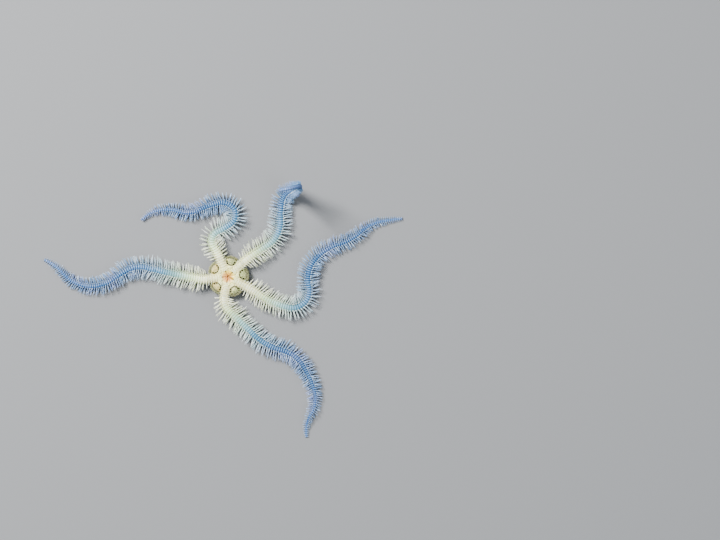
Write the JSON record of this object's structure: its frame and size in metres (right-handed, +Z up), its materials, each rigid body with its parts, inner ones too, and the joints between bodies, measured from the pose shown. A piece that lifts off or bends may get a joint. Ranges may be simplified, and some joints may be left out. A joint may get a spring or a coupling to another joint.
{
  "type": "brittle star",
  "caption": "Life-size common brittle star lying on its back, mouth upwards, with long spiny arms that bend over the floor and one of them raised, its tip hooked over.",
  "frame": {"origin": "on the floor, under the middle of the disc", "axes": "+Z up from the floor, out of the mouth; +X towards the right of the view from above, roughly opposite the arm that runs straight out"},
  "size_m": [0.1614, 0.1155, 0.0335],
  "materials": {
    "disc": "wet skin over small plates, cream with olive-yellow lobes between the arms",
    "jaws": "wet, orange-red round the mouth, paler at the tooth papillae",
    "arms": "wet calcite plates and glassy thorny spines, cream near the disc and blue-white towards the tips"
  },
  "bodies": {
    "root": {"disc": "disc", "jaw_1": "jaws", "jaw_2": "jaws", "jaw_3": "jaws", "jaw_4": "jaws", "jaw_5": "jaws", "arm_a_1": "arms", "arm_a_2": "arms", "arm_a_3": "arms", "arm_a_4": "arms", "arm_b_1": "arms", "arm_b_2": "arms", "arm_b_3": "arms", "arm_b_4": "arms", "arm_b_5": "arms", "arm_c_1": "arms", "arm_c_2": "arms", "arm_c_3": "arms", "arm_c_4": "arms", "arm_c_5": "arms", "arm_d_1": "arms", "arm_d_2": "arms", "arm_d_3": "arms", "arm_d_4": "arms", "arm_d_5": "arms", "arm_e_1": "arms", "arm_e_2": "arms", "arm_e_3": "arms", "arm_e_4": "arms"}
  },
  "joints": []
}
